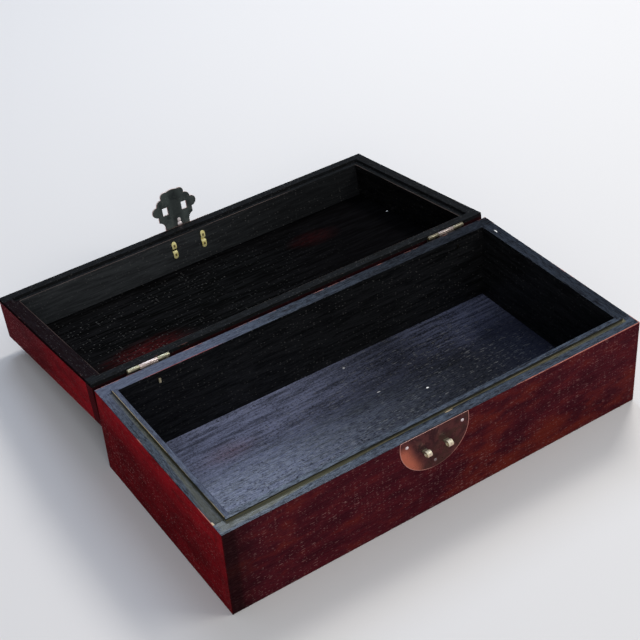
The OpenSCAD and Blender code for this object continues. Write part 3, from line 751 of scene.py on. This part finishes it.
def nail_marks(s, point, colour):
    """The lowest nail has gone dull."""
    return s.mix(s.times(s.step(s.split(point)[2], *LOW_NAIL_Z), 0.8), colour, NAIL_DULL)


def leaf_marks(s, point, colour):
    """Painted shade darkens the hinges below the middle of their knuckles, by the dark gap; the right one is
    tarnished all over.
    """
    x, _, z = s.split(point)
    colour = s.mix(s.times(s.step(x, *RIGHT_HINGE_X), 0.55), colour, LEAF_TARNISH)
    # Painted shade below the middle of the knuckles
    return s.mix(s.times(s.below(z, HINGE_Z - 1.0, 0.8), 0.92), colour, LEAF_SHADE)


def tip_marks(s, point, colour):
    """The nails' clinched tips inside the box are dull on the left and black on the right."""
    x, y, _ = s.split(point)
    inside = s.below(y, BACK_Y - WALL, 0.5)
    return s.mix(inside, colour, s.mix(s.step(x, *RIGHT_TIP_X), TIP_PALE, TIP_BLACK))


FLAP_DARK, FLAP_EDGE_HIGHLIGHT = linear(44, 48, 50), linear(255, 232, 222)
FLAP_BAND, FLAP_BAND_SOFT = (-1.0, 3.5), 5.0
FACING_CUT, FLAP_HIGHLIGHT_CUT, FLAP_HIGHLIGHT_RATE = (0.985, 0.9), (0.28, 0.42), 0.22


def flap_marks(s, point, colour):
    """Painted highlights in broken patches on the edges, and a darker band down the middle of the flap's
    back.
    """
    normal = s.node("TexCoord").outputs["Normal"]
    facing = s.size(s.vector("DOT_PRODUCT", normal, LID_OPEN.to_3x3() @ Vector((0, -1, 0))))
    middle = s.band(s.split(point)[0], HASP_X + FLAP_BAND[0], HASP_X + FLAP_BAND[1], FLAP_BAND_SOFT)
    colour = s.mix(s.times(middle, 0.5), colour, FLAP_DARK)
    # Painted highlight: pale edges that face sideways, picked out in patches by noise
    rubbed = s.noise(point, (FLAP_HIGHLIGHT_RATE,) * 3, 2.0)
    return s.mix(s.times(s.step(facing, *FACING_CUT), s.step(rubbed, *FLAP_HIGHLIGHT_CUT)), colour, FLAP_EDGE_HIGHLIGHT)


# Each metal's base, its patina and its rubbed spots
BRASS = linear(232, 212, 140), linear(150, 132, 74), linear(250, 242, 200)
COPPER = linear(108, 74, 72), linear(72, 52, 54), linear(140, 100, 92)
STAPLE_BRASS = linear(255, 246, 218), linear(236, 222, 178), linear(255, 252, 238)
EYE_BRASS = linear(255, 246, 176), linear(240, 222, 130), linear(255, 252, 220)
PALE_BRASS = linear(240, 222, 214), linear(200, 178, 168), linear(252, 244, 238)
OLD_BRASS = linear(196, 190, 158), linear(132, 128, 104), linear(244, 240, 222)
BRONZE = linear(98, 108, 106), linear(64, 72, 72), linear(136, 140, 134)
WHITE_METAL = linear(255, 246, 246), linear(232, 222, 224), linear(255, 254, 254)
COPPER_POLISH, BRASS_POLISH, STRAP_POLISH, LEAF_POLISH = (0.2, 0.4), (0.16, 0.4), (0.2, 0.42), (0.22, 0.42)
BRONZE_POLISH, WHITE_POLISH = (0.32, 0.55), (0.14, 0.34)

copper = metal("copper", COPPER, COPPER_POLISH, 0.5, 0.12, plate_marks)
lid_copper = metal("lid_copper", COPPER, COPPER_POLISH, 0.5, 0.12, plate_marks, on_lid=True)
brass = metal("brass", BRASS, BRASS_POLISH, 0.75)
strap_brass = metal("strap_brass", STAPLE_BRASS, STRAP_POLISH, 0.15, detail=staple_marks)
eye_brass = metal("eye_brass", EYE_BRASS, STRAP_POLISH, 0.05, detail=eye_marks, on_lid=True)
pale_brass = metal("pale_brass", PALE_BRASS, LEAF_POLISH, 0.55, detail=leaf_marks)
old_brass = metal("old_brass", OLD_BRASS, LEAF_POLISH, 0.6, detail=leaf_marks)
tip_brass = metal("tip_brass", BRASS, BRASS_POLISH, 0.5, detail=tip_marks)
bronze = metal("bronze", BRONZE, BRONZE_POLISH, 0.4, 0.1, flap_marks, on_lid=True)
white_metal = metal("white_metal", WHITE_METAL, WHITE_POLISH, 0.1, detail=nail_marks)

PLATE_BEVEL, NAIL_BEVEL, PIN_BEVEL, TIP_BEVEL, FLAP_BEVEL = 0.3, 0.05, 0.2, 0.1, 0.45
for name, material, width in (
        ("hasp_plate", copper, PLATE_BEVEL), ("lid_plate", lid_copper, PLATE_BEVEL),
        ("hasp_plate_nails", white_metal, NAIL_BEVEL), ("lid_plate_nails", white_metal, NAIL_BEVEL),
        ("flap_pin", brass, PIN_BEVEL), ("left_hinge_pin", brass, PIN_BEVEL),
        ("right_hinge_pin", brass, PIN_BEVEL), ("hinge_body_nails", tip_brass, TIP_BEVEL),
        ("hinge_lid_nails", brass, TIP_BEVEL), ("hasp_flap", bronze, FLAP_BEVEL)):
    dress(nodes[name], material, width)

# Strips of metal, bent along a path of points in the YZ plane


def along(path, at):
    """Direction of the path at one of its points."""
    before, after = path[max(at - 1, 0)], path[min(at + 1, len(path) - 1)]
    return (Vector(after) - Vector(before)).normalized()


def smoothed(path, rounds=3):
    """Cuts the path's corners again and again."""
    for _ in range(rounds):
        cut = [path[0]]
        for first, second in zip(path, path[1:]):
            a, b = Vector(first), Vector(second)
            cut += [tuple(a.lerp(b, 0.25)), tuple(a.lerp(b, 0.75))]
        path = cut + [path[-1]]
    return path


def arc(middle, radius, start, stop, steps):
    """Points of an arc in the YZ plane; angles in degrees from +Y towards +Z."""
    angles = [math.radians(start + (stop - start) * i / steps) for i in range(steps + 1)]
    return [(middle[0] + radius * math.cos(a), middle[1] + radius * math.sin(a)) for a in angles]


# A strip's section: its rounding, at most a share of the half size; how narrow a rounded end gets
SECTION_CORNER, CORNER_SHARE, CORNER_STEPS, END_SHARE = 0.22, 0.9, 3, 0.3


def section(half_w, half_t):
    """A rectangle with rounded corners."""
    corner = min(SECTION_CORNER, half_w * CORNER_SHARE, half_t * CORNER_SHARE)
    points = []
    for turn, (side, face) in enumerate(((1, 1), (-1, 1), (-1, -1), (1, -1))):
        for i in range(CORNER_STEPS):
            a = math.radians(turn * 90 + 90 * i / (CORNER_STEPS - 1))
            points.append((side * (half_w - corner) + corner * math.cos(a),
                           face * (half_t - corner) + corner * math.sin(a)))
    return points


def add_strip(mesh, x, path, width, thickness, round_ends=False):
    """A strip of metal along the path, centred on x; its ends are rounded off where asked."""
    gone, lengths = 0.0, [0.0]
    for first, second in zip(path, path[1:]):
        gone += (Vector(second) - Vector(first)).length
        lengths.append(gone)
    rings = []
    for at, (y, z) in enumerate(path):
        direction = along(path, at)
        half = width / 2
        to_end = min(lengths[at], gone - lengths[at])
        if round_ends and to_end < half:
            half = max(math.sqrt(half * half - (half - to_end) ** 2), half * END_SHARE)
        ring = []
        for across, up in section(half, thickness / 2):
            point = Vector((x + across, y - direction[1] * up, z + direction[0] * up))
            ring.append(mesh.verts.new(point * MM))
        rings.append(ring)
    count = len(rings[0])
    for first, second in zip(rings, rings[1:]):
        for i in range(count):
            mesh.faces.new((first[i], first[(i + 1) % count], second[(i + 1) % count], second[i]))
    mesh.faces.new(rings[0][::-1])
    mesh.faces.new(rings[-1])


TURN_STEPS = 48


def add_turned(mesh, x, z, profile):
    """A turned form round an axis along Y, from (radius, y) points; it starts and ends on the axis."""
    angles = [math.tau * i / TURN_STEPS for i in range(TURN_STEPS)]
    rings = [[mesh.verts.new(Vector((x + radius * math.cos(a), y, z + radius * math.sin(a))) * MM)
              for a in (angles if radius else angles[:1])] for radius, y in profile]
    for first, second in zip(rings, rings[1:]):
        for i in range(TURN_STEPS):
            corners = [first[i % len(first)], first[(i + 1) % len(first)],
                       second[(i + 1) % len(second)], second[i % len(second)]]
            mesh.faces.new(list(dict.fromkeys(corners)))


def piece(name, mesh, material, body, node, slot="brass"):
    """Turns a finished mesh into a piece that stands for a CAD node."""
    if body != "box":
        mesh.transform(LID_OPEN)
    bmesh.ops.recalc_face_normals(mesh, faces=mesh.faces)
    data = bpy.data.meshes.new(name)
    mesh.to_mesh(data)
    mesh.free()
    made = bpy.data.objects.new(name, data)
    bpy.context.scene.collection.objects.link(made)
    data.materials.append(material)
    data.shade_smooth()
    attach(made, body)
    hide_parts(node)
    return made


# A strap's leg on the inner wall: depth from the wall with a share of its length, and in its bend with a
# height. From there it runs through the wood to the ring's two ends.
LEG_LIE, LEG_BEND, LEG_IN = ((-0.1, 1.0), (0.1, 0.85), (0.7, 0.5)), ((0.5, 2.0), (-0.4, 1.0)), (-1.6, -3.0)
HALF_GAP, RING_NECK, NECK_FLARE, RING_ENDS, RING_STEPS = 0.02, (2.0, 0.8), 0.3, (40, 320), 28


def split_pin_path(out, ring_r, leg):
    """Path of a strap round an eye, through the wood and folded flat inside; y starts at the front face."""
    leg_y, gap, ring_y = WALL + STRAP_T / 2, STRAP_T / 2 + HALF_GAP, ring_r - out
    half = [(leg_y + depth, leg * share) for depth, share in LEG_LIE]
    half += [(leg_y + depth, height) for depth, height in LEG_BEND]
    half += [(leg_y + depth, gap) for depth in LEG_IN] + [(ring_y + before, gap) for before in RING_NECK]
    half += [(ring_r * 0.9 - out, gap + NECK_FLARE)]
    ring = arc((-out, 0), ring_r, *RING_ENDS, RING_STEPS)
    return smoothed(half) + ring + [(y, -z) for y, z in smoothed(half)[::-1]]


def split_pin(name, x, z, out, outer_r, hole_r, leg, material, body, node):
    mesh = bmesh.new()
    path = split_pin_path(out, (outer_r + hole_r) / 2, leg)
    add_strip(mesh, x, [(FRONT_Y + y, z + up) for y, up in path], STRAP_W, STRAP_T, round_ends=True)
    return piece(name, mesh, material, body, node)


for side, sign in (("left", -1), ("right", 1)):
    split_pin(side + "_staple_strap", HASP_X + sign * STAPLE_SPAN / 2, STAPLE_Z, STAPLE_OUT, STAPLE_R,
              STAPLE_HOLE, STAPLE_LEG, strap_brass, "box", side + "_staple")
    split_pin(side + "_eye_strap", HASP_X + sign * EYE_SPAN / 2, PIN_Z, EYE_OUT, EYE_R,
              EYE_HOLE, EYE_LEG, eye_brass, "lid", side + "_flap_eye")

ROLL_TURN, ROLL_STEPS, NECK_START, NECK_ROUNDS = 342, 40, 0.8, 2


def rolled_leaf(name, x, side, knuckles, material, body, node):
    """A hinge leaf, its strip rolled round the pin; side is -1 for the body's leaf and 1 for the lid's."""
    mesh = bmesh.new()
    plate_y, roll_r = BACK_Y + LEAF_T / 2, (KNUCKLE_R + KNUCKLE_HOLE) / 2
    plate_end = (plate_y, HINGE_Z + side * LEAF_START)
    add_strip(mesh, x, [(plate_y, HINGE_Z + side * LEAF_REACH), plate_end], HINGE_LEN, LEAF_T)
    # The strip's inner half lies against the barrel's side and goes round the pin to end in a seam
    roll = arc((HINGE_Y, HINGE_Z), roll_r, 180, 180 - side * ROLL_TURN, ROLL_STEPS)
    neck = smoothed([(plate_y, HINGE_Z + side * (LEAF_START + NECK_START)), plate_end,
                     (HINGE_Y - roll_r, HINGE_Z + side * LEAF_START / 2), roll[0]], NECK_ROUNDS)
    for low, high in knuckles:
        add_strip(mesh, x + (low + high) / 2, neck + roll[1:], high - low, KNUCKLE_R - KNUCKLE_HOLE)
    return piece(name, mesh, material, body, node)


inner_end, outer_end = MID_KNUCKLE / 2, HINGE_LEN / 2
outer_start = inner_end + KNUCKLE_GAP
for side, x in HINGE_XS.items():
    rolled_leaf(side + "_body_leaf_rolled", x, -1, [(-inner_end, inner_end)], pale_brass, "box",
                side + "_hinge_body_leaf")
    rolled_leaf(side + "_lid_leaf_rolled", x, 1, [(-outer_end, -outer_start), (outer_start, outer_end)],
                old_brass, "lid", side + "_hinge_lid_leaf")

# The knob's button, as radius and depth behind its face, and its washer, as radius and place before the flap
BUTTON = ((0, 0), (1.0, 0.08), (1.9, 0.42), (2.5, 1.0), (KNOB_R, 1.8), (KNOB_R, 2.1), (2.45, 2.5), (1.7, 2.8),
          (1.25, 3.2), (STEM_R, 3.7))
WASHER = ((1.3, -0.75), (2.1, -0.55), (2.2, -0.3), (2.1, 0))
# Its split tail: half the split, then depth behind the flap and share of the length
TAIL_SPLIT, TAIL_CURL, TAIL_BEND = 0.35, ((0.15, 0.45), (0.0, 0.75), (-0.15, 1.0)), (-0.1, 0.6)
TAIL_T, TAIL_W = STRAP_T * 0.7, {1: STRAP_W, -1: STRAP_W * 0.75}


def turned_knob():
    """The flap's pull knob: a turned button on a washer, and its tail split and curled on the flap's back."""
    mesh = bmesh.new()
    x, z = HASP_X + KNOB_X, PIN_Z - KNOB_AT
    back, front = FRONT_Y - FLAP_STAND, FRONT_Y - FLAP_STAND - FLAP_T
    profile = [(radius, front - KNOB_H + depth) for radius, depth in BUTTON]
    profile += [(radius, front + place) for radius, place in WASHER]
    add_turned(mesh, x, z, profile + [(STEM_R, front), (STEM_R, back), (0, back)])
    tail_y = back + STRAP_T / 2
    for sign, width in TAIL_W.items():
        path = [(front + 0.4, z + sign * TAIL_SPLIT), (back - 0.2, z + sign * TAIL_SPLIT),
                (tail_y + TAIL_BEND[0], z + sign * TAIL_BEND[1])]
        path += [(tail_y + depth, z + sign * TAIL_LEN * share) for depth, share in TAIL_CURL]
        add_strip(mesh, x, smoothed(path), width, TAIL_T, round_ends=True)
    return piece("flap_knob_turned", mesh, white_metal, "flap", "flap_knob", "white_metal")


turned_knob()

# Floor: pale to the camera, darker to the rays that light the box or mirror in it
FLOOR_HALF, FLOOR_DROP, FLOOR_ROUGHNESS, FLOOR_SPECULAR = 6.0, 0.0004, 0.8, 0.1
FLOOR_SEEN, FLOOR_BOUNCE, FLOOR_MIRRORED = (0.8, 0.78, 0.76, 1), (0.38, 0.24, 0.24, 1), (0.26, 0.09, 0.11, 1)
corners = [(-1, -1), (1, -1), (1, 1), (-1, 1)]
floor_mesh = bpy.data.meshes.new("floor")
floor_mesh.from_pydata([(x * FLOOR_HALF, y * FLOOR_HALF, 0) for x, y in corners], [], [(0, 1, 2, 3)])
floor = bpy.data.objects.new("floor", floor_mesh)
floor.location = (0, 0, -FLOOR_DROP)
bpy.context.scene.collection.objects.link(floor)
paper = Shader("floor_paper")
ray = paper.node("LightPath").outputs
unseen = paper.mix(ray["Is Glossy Ray"], FLOOR_BOUNCE, FLOOR_MIRRORED)
paper.set(Base_Color=paper.mix(ray["Is Camera Ray"], unseen, FLOOR_SEEN), Roughness=FLOOR_ROUGHNESS,
          Specular_IOR_Level=FLOOR_SPECULAR)
floor_mesh.materials.append(paper.material)

# World: pale to the camera; for the light, dark low down and brighter overhead
SKY_SEEN, SKY_LIGHT = (0.86, 0.86, 0.87, 1), (0.78, 0.86, 1.0, 1)
SKY_HEIGHT, SKY_POWER = (0.5, 0.95), (0.08, 0.7)
scene = bpy.context.scene
world = bpy.data.worlds.new("studio")
scene.world = world
world.use_nodes = True
sky = Graph(world.node_tree)
height = sky.split(sky.node("TexCoord").outputs["Generated"])[2]
glow = sky.tree.nodes["Background"]
sky.put(glow.inputs["Color"], SKY_LIGHT)
sky.put(glow.inputs["Strength"], sky.ramp(height, *SKY_HEIGHT, *SKY_POWER))
seen = sky.node("Background", {"Color": SKY_SEEN})
ray = sky.node("LightPath").outputs["Is Camera Ray"]
shown = sky.node("MixShader", {0: ray, 1: glow.outputs[0], 2: seen.outputs[0]})
sky.put(sky.tree.nodes["World Output"].inputs[0], shown.outputs[0])

# Lamps aim at the box's middle
LAMP_TARGET = Vector((0, 0.05, 0.05))


def softbox(name, azimuth, elevation, distance, size, power, colour):
    """A large soft lamp. Azimuth counts from +Y towards +X, in degrees."""
    data = bpy.data.lights.new(name, "AREA")
    data.shape = "RECTANGLE"
    data.size, data.size_y = size
    data.energy = power
    data.color = colour
    lamp = bpy.data.objects.new(name, data)
    a, e = math.radians(azimuth), math.radians(elevation)
    away = Vector((math.sin(a) * math.cos(e), math.cos(a) * math.cos(e), math.sin(e)))
    lamp.location = LAMP_TARGET + away * distance
    lamp.rotation_euler = away.to_track_quat("Z", "Y").to_euler()
    scene.collection.objects.link(lamp)
    return lamp


# The key lamp gives light and shadow alone: the shine on the level wood comes from the sheen lamp
softbox("key", 58, 48, 2.0, (0.5, 0.5), 17, (1.0, 0.98, 0.96)).visible_glossy = False
softbox("sheen", 15, 49, 1.8, (0.6, 0.45), 7, (0.68, 0.8, 1.0))
softbox("glint", 128, 46, 2.0, (0.8, 0.8), 9, (1.0, 0.98, 0.92))
softbox("fill", 205, 22, 2.2, (1.6, 1.0), 14, (1.0, 0.95, 0.92))

# Camera where the photograph's stood: its lens in millimetres, its place in metres and its three axes
SENSOR, LENS, CAMERA_AT = 36.0, 81.294, (-0.45246, -0.68747, 0.73751)
CAMERA_RIGHT = (0.83079508, -0.55312902, -0.0618694)
CAMERA_UP = (0.37726183, 0.47791449, 0.7932662)
CAMERA_BACK = (-0.40921027, -0.68238262, 0.60572347)
camera_data = bpy.data.cameras.new("camera")
camera_data.sensor_width = SENSOR
camera_data.lens = LENS
camera = bpy.data.objects.new("camera", camera_data)
turn = Matrix((CAMERA_RIGHT, CAMERA_UP, CAMERA_BACK)).transposed()
camera.matrix_world = Matrix.Translation(CAMERA_AT) @ turn.to_4x4()
scene.collection.objects.link(camera)
scene.camera = camera

scene.view_settings.view_transform = "Standard"
